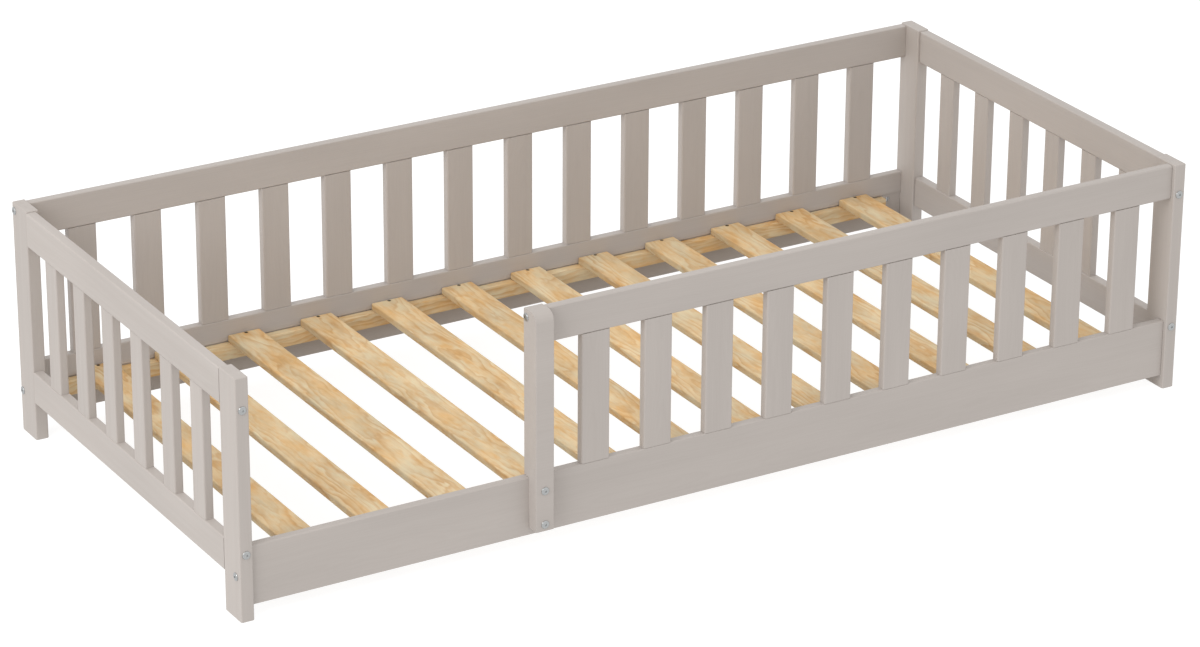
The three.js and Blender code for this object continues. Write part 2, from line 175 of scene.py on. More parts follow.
class BED_PG_finish(bpy.types.PropertyGroup):
    """Colours of the paint, the pine and the metal"""

    paint: colour_property("Paint", "Warm grey paint", (0.490, 0.445, 0.412))
    paint_streak: colour_property("Paint Streak", "Paint over the grain", (0.450, 0.406, 0.374))
    pine_pale: colour_property("Pine Pale", "Early wood", (0.755, 0.625, 0.405))
    pine_honey: colour_property("Pine Honey", "Warmer early wood", (0.74, 0.46, 0.195))
    pine_ring: colour_property("Pine Ring", "Late wood", (0.52, 0.26, 0.08))
    zinc: colour_property("Zinc", "Bright plated steel", (0.53, 0.54, 0.54))
    # nearly black: partly the screws' dull steel, partly painted shade for the dark holes that
    # they sit in
    screw: colour_property("Screw", "Dull steel of the slat screws", (0.05, 0.045, 0.04))
    floor: colour_property("Floor", "Studio floor", (0.28, 0.28, 0.28))


class BED_PG_studio(bpy.types.PropertyGroup):
    """The camera, the white surround and the soft light"""

    place: FloatVectorProperty(
        name="Camera Place", description="Where the camera stands", size=3,
        default=(-4.1585, -6.9932, 3.7189), subtype="TRANSLATION", unit="LENGTH",
    )
    heading: FloatProperty(
        name="Heading", description="Turn of the camera from +Y towards +X",
        default=math.radians(30.629), subtype="ANGLE", unit="ROTATION",
    )
    dip: FloatProperty(
        name="Dip", description="How far the camera looks below the horizon",
        default=math.radians(23.492), subtype="ANGLE", unit="ROTATION",
    )
    tilt: FloatProperty(
        name="Tilt", description="Turn of the camera about its own line of sight",
        default=math.radians(0.324), subtype="ANGLE", unit="ROTATION",
    )
    lens: FloatProperty(
        name="Lens", description="Focal length on a 36 mm sensor", default=136.72,
        min=1.0, unit="CAMERA",
    )
    sky: FloatProperty(
        name="Sky", description="Brightness of the white surround", default=0.94, min=0.0
    )
    ground: FloatProperty(
        name="Ground", description="Brightness of the surround below the horizon",
        default=0.86, min=0.0,
    )
    key: FloatProperty(
        name="Key", description="Power of the soft light at the left", default=200.0,
        min=0.0, unit="POWER",
    )


def settings(group):
    return getattr(bpy.context.scene, "bed_" + group)


# ---------------------------------------------------------------------------
# Outlines and meshes
# ---------------------------------------------------------------------------


def quarter(x, y, radius, start, steps=ARC_STEPS):
    """Points of a quarter turn about (x, y), anticlockwise from the given quarter."""
    angles = [(start + i / steps) * math.pi / 2 for i in range(steps + 1)]
    return [(x + radius * math.cos(a), y + radius * math.sin(a)) for a in angles]


def rounded_rectangle(width, depth, radius):
    x, y = width / 2 - radius, depth / 2 - radius
    return (
        quarter(x, y, radius, 0)
        + quarter(-x, y, radius, 1)
        + quarter(-x, -y, radius, 2)
        + quarter(x, -y, radius, 3)
    )


def stack(*levels):
    """A bmesh that joins outlines of equal point counts, each at its own height."""
    bm = bmesh.new()
    rings = [[bm.verts.new((x, y, z)) for x, y in outline] for outline, z in levels]
    count = len(rings[0])
    for low, high in zip(rings, rings[1:]):
        for i in range(count):
            j = (i + 1) % count
            bm.faces.new((low[i], low[j], high[j], high[i]))
    bm.faces.new(rings[0][::-1])
    bm.faces.new(rings[-1])
    return bm


def prism(outline, length, eases=(0.0, 0.0)):
    """A bmesh of the outline drawn out along Z, with its lower and upper ends eased."""
    bm = stack((outline, -length / 2), (outline, length / 2))
    bm.faces.ensure_lookup_table()
    caps = bm.faces[-2], bm.faces[-1]
    for cap, ease in zip(caps, eases):
        if ease:
            bmesh.ops.bevel(
                bm, geom=list(cap.edges), offset=ease, segments=EASE_STEPS,
                profile=0.5, affect="EDGES",
            )
    return bm


def turned(profile, steps=ROUND_STEPS):
    """A bmesh of a profile of (radius, z) turned about Z. It starts and ends on the axis."""
    bm = bmesh.new()
    rings = []
    for radius, z in profile:
        if radius == 0:
            rings.append([bm.verts.new((0, 0, z))])
            continue
        angles = [2 * math.pi * i / steps for i in range(steps)]
        rings.append(
            [bm.verts.new((radius * math.cos(a), radius * math.sin(a), z)) for a in angles]
        )
    for lower, upper in zip(rings, rings[1:]):
        for i in range(steps):
            j = (i + 1) % steps
            corners = (
                lower[i % len(lower)], lower[j % len(lower)],
                upper[j % len(upper)], upper[i % len(upper)],
            )
            bm.faces.new(list(dict.fromkeys(corners)))
    bmesh.ops.recalc_face_normals(bm, faces=bm.faces)
    return bm


def to_mesh(bm, name):
    mesh = bpy.data.meshes.new(name)
    bm.to_mesh(mesh)
    bm.free()
    return mesh


def smooth(mesh):
    """Smooth shading that stays crisp at sawn edges."""
    mesh.shade_smooth()
    mesh.set_sharp_from_angle(angle=SHARP_ANGLE)


# Turns that lay a piece's own Z along a world axis. The outline's x and y become
# Y and Z for a piece along X, and -X and Z for a piece along Y.
LAY = {
    "X": Matrix(((0, 0, 1), (1, 0, 0), (0, 1, 0))),
    "Y": Matrix(((-1, 0, 0), (0, 0, 1), (0, 1, 0))),
    "Z": Matrix.Identity(3),
}


def add_object(name, mesh, matrix):
    piece = bpy.data.objects.new(name, mesh)
    bpy.context.scene.collection.objects.link(piece)
    piece.matrix_world = matrix
    return piece


def carve(piece, cutters):
    """Cuts the piece by closed bmeshes that are already in world space."""
    if not cutters:
        return
    joined = bmesh.new()
    for cutter in cutters:
        part = to_mesh(cutter, "cutter_part")
        joined.from_mesh(part)
        bpy.data.meshes.remove(part)
    tool = add_object("cutter", to_mesh(joined, "cutter"), Matrix.Identity(4))
    cut = piece.modifiers.new("cut", "BOOLEAN")
    cut.operation = "DIFFERENCE"
    cut.solver = "EXACT"
    cut.object = tool
    depsgraph = bpy.context.evaluated_depsgraph_get()
    whole = piece.data
    piece.data = bpy.data.meshes.new_from_object(
        piece.evaluated_get(depsgraph), depsgraph=depsgraph
    )
    piece.modifiers.clear()
    piece.data.name = whole.name
    bpy.data.meshes.remove(whole)
    tool_mesh = tool.data
    bpy.data.objects.remove(tool)
    bpy.data.meshes.remove(tool_mesh)


def finish_piece(piece, material, slot, *nodes):
    """Shades a piece, gives it its material and fixes it to the bed."""
    smooth(piece.data)
    piece.data.materials.clear()
    piece.data.materials.append(material)
    even = piece.modifiers.new("even_normals", "WEIGHTED_NORMAL")
    even.keep_sharp = True
    if nodes:
        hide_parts(*nodes)
    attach(piece, "root")


def stick(name, low, high, axis, radius, eases=(0.0, 0.0), cutters=()):
    """A straight piece that fills a box, with rounded long edges along its axis."""
    size = high - low
    span = LAY[axis].transposed() @ size  # the box's size in the piece's own axes
    outline = rounded_rectangle(abs(span.x), abs(span.y), radius)
    mesh = to_mesh(prism(outline, abs(span.z), eases), name)
    return lay(name, mesh, (low + high) / 2, axis, cutters)


def lay(name, mesh, centre, axis, cutters=()):
    """Places a piece's own Z along a world axis, then cuts it."""
    matrix = Matrix.Translation(centre) @ LAY[axis].to_4x4()
    piece = add_object(name, mesh, matrix)
    carve(piece, cutters)
    return piece


# ---------------------------------------------------------------------------
# Joints: bolts, barrel nuts, mortises
# ---------------------------------------------------------------------------

Bolt = namedtuple("Bolt", "name seat inward length has_nut")

BOLT_INSETS = {
    "end_top": 9 * MM,  # above a top end rail's lower edge
    "end_low": 12 * MM,  # below a low end rail's upper edge
    "long_rail": 13.5 * MM,  # below a long rail's upper edge
    "lap_upper": 21.5 * MM,  # below the front board's upper edge
    "lap_lower": 13 * MM,  # above the entry post's foot
}


def post_name(x_side, y_side):
    depth = "front" if y_side == FRONT else "back"
    return f"{depth}_{'left' if x_side == LEFT else 'right'}_post"


def side_bolt(name, x_side, y_side, z, has_nut=False):
    """A bolt along X, through a corner post into a long piece."""
    low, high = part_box(post_name(x_side, y_side))
    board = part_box("front_side_board" if y_side == FRONT else "back_side_board")
    x = low.x if x_side == LEFT else high.x
    y = (board[0].y + board[1].y) / 2
    length = high.x - low.x + settings("fittings").side_reach
    return Bolt(name, Vector((x, y, z)), Vector((-x_side, 0, 0)), length, has_nut)


def end_bolt(name, x_side, y_side, z):
    """A bolt along Y, through a corner post into an end rail."""
    low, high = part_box(post_name(x_side, y_side))
    y = low.y if y_side == FRONT else high.y
    length = high.y - low.y + settings("fittings").end_reach
    seat = Vector(((low.x + high.x) / 2, y, z))
    return Bolt(name, seat, Vector((0, -y_side, 0)), length, False)


def all_bolts():
    """Every connector bolt of the bed."""
    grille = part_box("left_end_grille")
    board_low, board_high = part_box("front_side_board")
    rail_base, rail_top = (corner.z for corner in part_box("back_top_rail"))
    entry_low, entry_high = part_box("entry_post")
    end_top = rail_base + BOLT_INSETS["end_top"]
    end_low = grille[0].z + settings("wood").low_rail_height - BOLT_INSETS["end_low"]
    board_z = (board_low.z + board_high.z) / 2
    rail_z = rail_top - BOLT_INSETS["long_rail"]
    bolts = []
    for y_side, depth in ((FRONT, "front"), (BACK, "back")):
        for x_side, side in ((LEFT, "left"), (RIGHT, "right")):
            corner = f"{depth}_{side}"
            bolts.append(end_bolt(f"{corner}_top_rail_bolt", x_side, y_side, end_top))
            bolts.append(end_bolt(f"{corner}_low_rail_bolt", x_side, y_side, end_low))
            bolts.append(side_bolt(f"{corner}_board_bolt", x_side, y_side, board_z, True))
    bolts.append(side_bolt("back_left_long_rail_bolt", LEFT, BACK, rail_z))
    bolts.append(side_bolt("back_right_long_rail_bolt", RIGHT, BACK, rail_z))
    bolts.append(side_bolt("guard_rail_right_bolt", RIGHT, FRONT, rail_z))
    fittings = settings("fittings")
    seat = Vector((entry_low.x, (board_low.y + board_high.y) / 2, rail_z))
    reach = entry_high.x - entry_low.x + fittings.side_reach
    bolts.append(Bolt("guard_rail_entry_bolt", seat, Vector((1, 0, 0)), reach, False))
    lap_heights = (
        board_high.z - BOLT_INSETS["lap_upper"],
        entry_low.z + BOLT_INSETS["lap_lower"],
    )
    for i, z in enumerate(lap_heights, 1):
        seat = Vector(((entry_low.x + entry_high.x) / 2, entry_low.y, z))
        reach = board_high.y - entry_low.y - fittings.lap_cover
        bolts.append(
            Bolt(f"entry_post_lap_bolt_{i}", seat, Vector((0, 1, 0)), reach, False)
        )
    return bolts


def nut_place(bolt):
    """The middle, the way out and the length of the barrel nut on a bolt."""
    fittings = settings("fittings")
    front = bolt.seat.y < 0
    low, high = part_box("front_side_board" if front else "back_side_board")
    out = Vector((0, 1 if front else -1, 0))
    rebate = settings("wood").rebate_depth
    face = high.y - rebate if front else low.y + rebate
    length = high.y - low.y - rebate - fittings.nut_recess - fittings.nut_cover
    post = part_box("front_left_post")
    setback = post[1].x - post[0].x + fittings.nut_setback
    x = bolt.seat.x + bolt.inward.x * setback
    y = face - out.y * (fittings.nut_recess + length / 2)
    return Vector((x, y, bolt.seat.z)), out, length


def pin(start, direction, length, radius, steps=SMALL_ROUND_STEPS):
    """A closed round cutter in world space."""
    bm = turned([(0, 0), (radius, 0), (radius, length), (0, length)], steps)
    turn = direction.to_track_quat("Z", "Y").to_matrix().to_4x4()
    bm.transform(Matrix.Translation(start) @ turn)
    return bm


def reaches(start, end, radius, low, high):
    """True if a straight hole passes through a box."""
    return all(
        min(start[i], end[i]) - radius < high[i] and max(start[i], end[i]) + radius > low[i]
        for i in range(3)
    )


def bolt_holes(low, high):
    """Cutters for the bolt and nut holes that cross a box."""
    fittings = settings("fittings")
    radius = fittings.shank_radius + fittings.hole_play
    spare = 1 * MM
    cutters = []
    for bolt in all_bolts():
        start = bolt.seat - bolt.inward * spare
        end = bolt.seat + bolt.inward * (bolt.length + spare)
        if reaches(start, end, radius, low, high):
            cutters.append(pin(start, bolt.inward, (end - start).length, radius))
        if not bolt.has_nut:
            continue
        middle, out, length = nut_place(bolt)
        blind = middle - out * (length / 2 + fittings.hole_play / 2)
        mouth = middle + out * (length / 2 + 2 * settings("wood").rebate_depth)
        bore = fittings.nut_radius + fittings.hole_play / 2
        if reaches(blind, mouth, bore, low, high):
            cutters.append(pin(blind, out, (mouth - blind).length, bore, ROUND_STEPS))
    return cutters


def tenon_outline(width, play=0.0):
    """The section of a bar's tenon, or of its mortise when that has play."""
    wood = settings("wood")
    return rounded_rectangle(
        width - 2 * wood.tenon_shoulder + 2 * play, wood.tenon_thickness + 2 * play,
        wood.tenon_round + play,
    )


def bar_turn(axis):
    """The turn of a bar whose width lies along the rail's axis."""
    return Matrix.Rotation(math.pi / 2, 4, "Z") if axis == "Y" else Matrix.Identity(4)


def mortise(centre, width, axis):
    """A cutter for one bar's mortise in a rail along the axis."""
    wood = settings("wood")
    outline = tenon_outline(width, wood.mortise_play)
    bm = prism(outline, 2 * (wood.tenon_length + wood.joint_gap + wood.mortise_play))
    bm.transform(Matrix.Translation(centre) @ bar_turn(axis))
    return bm


def tenoned_bar(name, x, y, base, top, width, thickness, axis):
    """An upright bar between two rails' edges, with a tenon at each end."""
    wood = settings("wood")
    body = rounded_rectangle(width, thickness, wood.bar_round)
    tenon = tenon_outline(width)
    half = (top - base) / 2 - wood.joint_gap
    reach = half + wood.tenon_length
    mesh = to_mesh(
        stack((tenon, -reach), (tenon, -half), (body, -half),
              (body, half), (tenon, half), (tenon, reach)), name,
    )
    matrix = Matrix.Translation((x, y, (base + top) / 2)) @ bar_turn(axis)
    return add_object(name, mesh, matrix)


# ---------------------------------------------------------------------------
# Materials
# ---------------------------------------------------------------------------


class Graph:
    """A short way to write a material's nodes."""

    def __init__(self, name):
        self.material = bpy.data.materials.new(name)
        self.material.use_nodes = True
        self.tree = self.material.node_tree
        self.surface = self.tree.nodes["Principled BSDF"]

    def add(self, kind, inputs=(), **attributes):
        node = self.tree.nodes.new("ShaderNode" + kind)
        for key, value in attributes.items():
            setattr(node, key, value)
        for socket, value in dict(inputs).items():
            self.put(node.inputs[socket], value)
        return node

    def put(self, socket, value):
        """Links another node's output, or sets a plain value."""
        if isinstance(value, bpy.types.NodeSocket):
            self.tree.links.new(value, socket)
        else:
            socket.default_value = value

    def shade(self, **values):
        """Sets the surface's sockets, with _ for each space in their names."""
        for key, value in values.items():
            self.put(self.surface.inputs[key.replace("_", " ")], value)

    def math(self, operation, a, b=0.0):
        return self.add("Math", {0: a, 1: b}, operation=operation).outputs[0]

    def vector(self, operation, a, b=(0.0, 0.0, 0.0)):
        node = self.add("VectorMath", {0: a}, operation=operation)
        if operation == "SCALE":
            self.put(node.inputs["Scale"], b)
        else:
            self.put(node.inputs[1], b)
        scalar = operation in ("LENGTH", "DOT_PRODUCT")
        return node.outputs["Value" if scalar else "Vector"]

    def noise(self, vector, scale=1.0, detail=2.0, roughness=0.5, output="Fac"):
        inputs = {"Vector": vector, "Scale": scale, "Detail": detail, "Roughness": roughness}
        return self.add("TexNoise", inputs).outputs[output]

    def streaks(self, place, scale, **values):
        """Noise with its own scale along each of the piece's axes."""
        return self.noise(self.vector("MULTIPLY", place, scale), **values)

    def remap(self, value, low, high, new_low, new_high):
        inputs = {"Value": value, "From Min": low, "From Max": high,
                  "To Min": new_low, "To Max": new_high}
        return self.add("MapRange", inputs, clamp=True).outputs["Result"]

    def mix(self, factor, a, b, blend="MIX"):
        """Mixes two colours."""
        node = self.add("Mix", data_type="RGBA", blend_type=blend)
        for socket, value in zip((node.inputs[0], node.inputs[6], node.inputs[7]),
                                 (factor, a, b)):
            self.put(socket, value)
        return node.outputs[2]

    def dim(self, colour, level):
        """Multiplies a colour by a grey level."""
        grey = self.add("CombineColor", {0: level, 1: level, 2: level}).outputs[0]
        return self.mix(1.0, colour, grey, blend="MULTIPLY")

    def curve(self, value, stops):
        """A ramp of grey levels at (position, level)."""
        node = self.add("ValToRGB", {"Fac": value})
        elements = node.color_ramp.elements
        while len(elements) < len(stops):
            elements.new(0.5)
        for element, (position, level) in zip(elements, stops):
            element.position = position
            element.color = (level, level, level, 1)
        return node.outputs["Color"]

    def bump(self, height, strength, distance):
        inputs = {"Height": height, "Strength": strength, "Distance": distance}
        return self.add("Bump", inputs).outputs["Normal"]


def rgba(colour):
    return (*colour, 1.0)


SECOND_CHANCE = 17.31  # makes another chance number out of a board's own
SHIFT_ALONG = 11.0  # the most that a board's pattern is moved along its grain
SHIFT_ACROSS = 0.05  # from the furthest move one way across it to the furthest the other way


def board_coordinates(graph):
    """Places in a board's own axes, moved by a chance amount that differs on each board."""
    own = graph.add("TexCoord").outputs["Object"]
    chance = graph.add("ObjectInfo").outputs["Random"]
    other = graph.math("FRACT", graph.math("MULTIPLY", chance, SECOND_CHANCE))
    along = graph.math("MULTIPLY", chance, SHIFT_ALONG)
    across = graph.math("MULTIPLY", graph.math("SUBTRACT", other, 0.5), SHIFT_ACROSS)
    shift = graph.add("CombineXYZ", {"X": across, "Y": 0.0, "Z": along}).outputs[0]
    return graph.vector("ADD", own, shift), chance


def growth_rings(graph, place, spacing, heart_depth, swirl):
    """How far through a year's ring each point lies, 0 to 1, in a flat-sawn board.

    swirl is how far, in metres, the rings bend about on their way along the board.
    """
    along = graph.vector("MULTIPLY", place, (0.0, 0.0, 1.0))
    wander = graph.noise(along, scale=2.4, detail=1.5, output="Color")
    wander = graph.vector("SUBTRACT", wander, (0.5, 0.5, 0.5))
    wander = graph.vector("MULTIPLY", wander, (0.07, 0.085, 0.0))
    waver = graph.streaks(
        place, (20.0, 20.0, 6.0), detail=3.0, roughness=0.55, output="Color"
    )
    waver = graph.vector("SUBTRACT", waver, (0.5, 0.5, 0.5))
    waver = graph.vector("MULTIPLY", waver, (swirl, swirl, 0.0))
    flat = graph.vector("MULTIPLY", place, (1.0, 1.0, 0.0))
    point = graph.vector("ADD", graph.vector("ADD", flat, wander), waver)
    point = graph.vector("ADD", point, (0.0, heart_depth, 0.0))
    radius = graph.vector("LENGTH", point)
    return graph.math("FRACT", graph.math("DIVIDE", radius, spacing))


def late_wood(graph, ring):
    """The dark, hard part of each ring: a slow rise and a quick fall."""
    stops = [(0.0, 0.3), (0.07, 0.0), (0.35, 0.06), (0.7, 0.5), (0.9, 1.0), (1.0, 0.35)]
    return graph.curve(ring, stops)


def paint_material(finish):
    """Satin paint on planed pine, with the grain just showing through it."""
    graph = Graph("warm_grey_paint")
    place, _ = board_coordinates(graph)
    ring = late_wood(graph, growth_rings(
        graph, place, spacing=4.8 * MM, heart_depth=30 * MM, swirl=12 * MM
    ))
    fibre = graph.streaks(place, (420.0, 420.0, 9.0), detail=3.0, roughness=0.6)
    patch = graph.streaks(place, (9.0, 9.0, 2.5))
    brush = graph.streaks(place, (90.0, 90.0, 3.0))
    streak = graph.math("MULTIPLY", graph.remap(fibre, 0.35, 0.75, 0.0, 1.0), 0.30)
    streak = graph.math("ADD", streak, graph.math("MULTIPLY", ring, 0.22))
    streak = graph.math("ADD", streak, graph.remap(brush, 0.3, 0.7, 0.0, 0.22))
    colour = graph.mix(streak, rgba(finish.paint), rgba(finish.paint_streak))
    colour = graph.dim(colour, graph.remap(patch, 0.3, 0.7, 0.965, 1.03))
    relief = graph.math("ADD", graph.math("MULTIPLY", fibre, 0.55),
                        graph.math("MULTIPLY", ring, 0.45))
    graph.shade(
        Base_Color=colour,
        Roughness=graph.remap(brush, 0.3, 0.7, 0.42, 0.56),
        Normal=graph.bump(relief, 0.35, 0.25 * MM),
        Specular_IOR_Level=0.4,
    )
    return graph.material


def pine_material(name, finish, flank_shade_level):
    """Bare planed pine: cream wood with soft honey rings, clouds and short flecks.

    flank_shade_level is painted shade: it dims the piece's edges that face along its own X, as
    though they lay in shade.
    """
    graph = Graph(name)
    place, chance = board_coordinates(graph)
    ring = late_wood(graph, growth_rings(
        graph, place, spacing=9.8 * MM, heart_depth=24 * MM, swirl=50 * MM
    ))
    fibre = graph.streaks(place, (520.0, 520.0, 14.0), detail=3.0, roughness=0.6)
    cloud = graph.streaks(place, (26.0, 26.0, 10.0), detail=3.5, roughness=0.58)
    dusk = graph.streaks(place, (21.0, 33.0, 8.0), detail=3.0, roughness=0.6)
    fade = graph.streaks(place, (17.0, 17.0, 6.0), output="Color")
    fleck = graph.streaks(place, (95.0, 95.0, 34.0), detail=3.0, roughness=0.55)
    strength = graph.remap(fade, 0.36, 0.64, 0.1, 1.0)
    lines = graph.math("MULTIPLY", ring, strength)
    warmth = graph.math("ADD", graph.remap(cloud, 0.33, 0.67, -0.05, 0.85),
                        graph.remap(fleck, 0.50, 0.72, -0.03, 0.4))
    warmth = graph.math("ADD", warmth, graph.math("MULTIPLY", lines, 0.35))
    ground = graph.mix(
        graph.remap(warmth, 0.0, 1.0, 0.0, 1.0), rgba(finish.pine_pale), rgba(finish.pine_honey)
    )
    colour = graph.mix(graph.math("MULTIPLY", lines, 0.6), ground, rgba(finish.pine_ring))
    level = graph.remap(fibre, 0.3, 0.7, 0.95, 1.04)
    level = graph.math("MULTIPLY", level, graph.remap(dusk, 0.33, 0.67, 0.88, 1.09))
    level = graph.math("MULTIPLY", level, graph.remap(chance, 0.0, 1.0, 0.96, 1.03))
    # painted shade: faces turned along the piece's own X are darkened, for the shade on a slat's
    # long sides
    normal = graph.add("TexCoord").outputs["Normal"]
    flank_shade_mask = graph.math("ABSOLUTE", graph.vector("DOT_PRODUCT", normal, (1.0, 0.0, 0.0)))
    level = graph.math("MULTIPLY", level, graph.remap(flank_shade_mask, 0.3, 0.95, 1.0, flank_shade_level))
    colour = graph.dim(colour, level)
    relief = graph.math("SUBTRACT", graph.math("MULTIPLY", fibre, 0.6),
                        graph.math("MULTIPLY", ring, 0.4))
    graph.shade(
        Base_Color=colour,
        Roughness=graph.remap(cloud, 0.3, 0.7, 0.52, 0.66),
        Normal=graph.bump(relief, 0.4, 0.3 * MM),
        Specular_IOR_Level=0.35,
    )
    return graph.material


def metal_material(name, colour, roughness):
    """Plated steel with fine marks and uneven dullness. roughness is its least and most."""
    graph = Graph(name)
    own = graph.add("TexCoord").outputs["Object"]
    cloud = graph.noise(graph.vector("SCALE", own, 350.0), detail=3.0)
    marks = graph.streaks(own, (2600.0, 700.0, 900.0))
    dull = graph.mix(
        graph.remap(cloud, 0.35, 0.7, 0.0, 0.35), rgba(colour), rgba([c * 0.72 for c in colour])
    )
    graph.shade(
        Base_Color=dull,
        Metallic=1.0,
        Roughness=graph.remap(cloud, 0.3, 0.7, *roughness),
        Normal=graph.bump(marks, 0.12, 0.03 * MM),
    )
    return graph.material


def floor_material(name, finish, glow):
    """A matt pale floor, very slightly uneven."""
    graph = Graph(name)
    own = graph.add("TexCoord").outputs["Object"]
    cloud = graph.noise(own, scale=0.6)
    colour = graph.mix(
        graph.remap(cloud, 0.3, 0.7, 0.0, 0.04), rgba(finish.floor), (1.0, 1.0, 1.0, 1.0)
    )
    graph.shade(
        Base_Color=colour, Roughness=0.9, Specular_IOR_Level=0.0,
        Emission_Color=(1.0, 1.0, 1.0, 1.0), Emission_Strength=glow,
    )
    return graph.material


def material(name):
    """The named material, made the first time that it is asked for."""
    finish = settings("finish")
    makers = {
        "warm_grey_paint": lambda: paint_material(finish),
        # the slats get painted shade on their long sides; the ledgers get none
        "slat_pine": lambda: pine_material("slat_pine", finish, flank_shade_level=0.83),
        "ledger_pine": lambda: pine_material("ledger_pine", finish, flank_shade_level=1.0),
        "bright_zinc": lambda: metal_material("bright_zinc", finish.zinc, (0.16, 0.30)),
        # the slat screws: dull steel made nearly black as painted shade for their holes
        "dull_screw": lambda: metal_material("dull_screw", finish.screw, (0.38, 0.55)),
        "pale_floor": lambda: floor_material("pale_floor", finish, FLOOR_GLOW),
        # the patch under the bed: painted shade, with a faint glow that stands in for light
        # thrown up by the floor
        "shaded_floor": lambda: floor_material("shaded_floor", finish, SHADE_GLOW),
    }
    return bpy.data.materials.get(name) or makers[name]()


# ---------------------------------------------------------------------------
# Wooden pieces
# ---------------------------------------------------------------------------


def painted(piece, *nodes):
    finish_piece(piece, material("warm_grey_paint"), "paint", *nodes)


class BED_OT_corner_posts(bpy.types.Operator):
    """Add the four corner posts, drilled for their bolts"""

    bl_idname = "bed.corner_posts"
    bl_label = "Corner Posts"
    bl_options = {"REGISTER", "UNDO"}

    def execute(self, context):
        wood = settings("wood")
        for y_side in (FRONT, BACK):
            for x_side in (LEFT, RIGHT):
                node = post_name(x_side, y_side)
                low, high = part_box(node)
                eases = (wood.foot_ease, wood.post_ease)
                piece = stick(
                    node + "_board", low, high, "Z", wood.post_round, eases,
                    bolt_holes(low, high),
                )
                painted(piece, node)
        return {"FINISHED"}


class BED_OT_end_grilles(bpy.types.Operator):
    """Add both end grilles: two rails each, with bars glued into their mortises"""

    bl_idname = "bed.end_grilles"
    bl_label = "End Grilles"
    bl_options = {"REGISTER", "UNDO"}

    def execute(self, context):
        for side in ("left", "right"):
            end_grille(side)
        return {"FINISHED"}


def bar_centres(low, high, count, width):
    """The middles of a row of bars that leaves equal gaps between two faces."""
    gap = (high - low - count * width) / (count + 1)
    return [low + gap + width / 2 + i * (gap + width) for i in range(count)]


def end_grille(side):
    wood = settings("wood")
    node = f"{side}_end_grille"
    low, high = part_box(node)
    x = (low.x + high.x) / 2
    front_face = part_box(f"front_{side}_post")[1].y
    back_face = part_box(f"back_{side}_post")[0].y
    centres = bar_centres(front_face, back_face, wood.end_bars, wood.end_bar_width)
    top_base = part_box("back_top_rail")[0].z
    low_top = low.z + wood.low_rail_height
    rails = (("top_rail", top_base, high.z, top_base), ("low_rail", low.z, low_top, low_top))
    for label, base, top, mouth in rails:
        box = Vector((low.x, low.y, base)), Vector((high.x, high.y, top))
        cutters = bolt_holes(*box) + [
            mortise(Vector((x, y, mouth)), wood.end_bar_width, "Y") for y in centres
        ]
        eases = (wood.end_ease, wood.end_ease)
        piece = stick(f"{side}_{label}", *box, "Y", wood.rail_round, eases, cutters)
        painted(piece, node)
    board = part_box("back_side_board")
    thickness = board[1].y - board[0].y
    for i, y in enumerate(centres, 1):
        name = f"{side}_end_bar_{i:02d}"
        bar = tenoned_bar(
            name, x, y, low_top, top_base, wood.end_bar_width, thickness, "Y"
        )
        painted(bar, node)


def bar_nodes(row):
    return sorted(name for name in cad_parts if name.startswith(row + "_bar_"))


class BED_OT_long_rails(bpy.types.Operator):
    """Add the back top rail and the front guard rail, mortised for their bars"""

    bl_idname = "bed.long_rails"
    bl_label = "Long Rails"
    bl_options = {"REGISTER", "UNDO"}

    def execute(self, context):
        wood = settings("wood")
        for node, row in (("back_top_rail", "back"), ("front_guard_rail", "guard")):
            low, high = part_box(node)
            cutters = bolt_holes(low, high) + bar_mortises(row, low.z)
            eases = (wood.end_ease, wood.end_ease)
            piece = stick(node + "_board", low, high, "X", wood.rail_round, eases, cutters)
            painted(piece, node)
        return {"FINISHED"}


def bar_mortises(row, z):
    """Cutters for a row of bars, at the height of the rail's edge."""
    cutters = []
    for name in bar_nodes(row):
        low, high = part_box(name)
        centre = Vector(((low.x + high.x) / 2, (low.y + high.y) / 2, z))
        cutters.append(mortise(centre, high.x - low.x, "X"))
    return cutters


class BED_OT_side_boards(bpy.types.Operator):
    """Add the deep side boards, with a rebate inside and holes for the barrel nuts"""

    bl_idname = "bed.side_boards"
    bl_label = "Side Boards"
    bl_options = {"REGISTER", "UNDO"}

    def execute(self, context):
        rows = (("back_side_board", "back", -1), ("front_side_board", "guard", 1))
        for node, row, inner in rows:
            low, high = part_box(node)
            outline = side_board_outline(low, high, inner)
            ease = settings("wood").end_ease
            mesh = to_mesh(prism(outline, high.x - low.x, (ease, ease)), node + "_board")
            cutters = bolt_holes(low, high) + bar_mortises(row, high.z)
            painted(lay(node + "_board", mesh, (low + high) / 2, "X", cutters), node)
        return {"FINISHED"}


def side_board_outline(low, high, inner):
    """A side board's section about its centre. inner is the side that faces the slats."""
    wood = settings("wood")
    half, half_height = (high.y - low.y) / 2, (high.z - low.z) / 2
    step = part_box("back_ledger")[1].z + wood.rebate_above - (low.z + high.z) / 2
    thin = half - wood.rebate_depth
    rounding = wood.rail_round
    points = [(-half, -half_height), (thin, -half_height), (thin, step), (half, step)]
    points += quarter(half - rounding, half_height - rounding, rounding, 0)
    points += quarter(-half + rounding, half_height - rounding, rounding, 1)
    if inner > 0:
        return points
    return [(-x, y) for x, y in reversed(points)]


class BED_OT_side_bars(bpy.types.Operator):
    """Add the upright bars of the back and of the front guard"""

    bl_idname = "bed.side_bars"
    bl_label = "Side Bars"
    bl_options = {"REGISTER", "UNDO"}

    def execute(self, context):
        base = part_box("back_side_board")[1].z
        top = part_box("back_top_rail")[0].z
        for node in bar_nodes("back") + bar_nodes("guard"):
            low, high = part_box(node)
            middle, size = (low + high) / 2, high - low
            bar = tenoned_bar(
                node + "_upright", middle.x, middle.y, base, top, size.x, size.y, "X"
            )
            painted(bar, node)
        return {"FINISHED"}


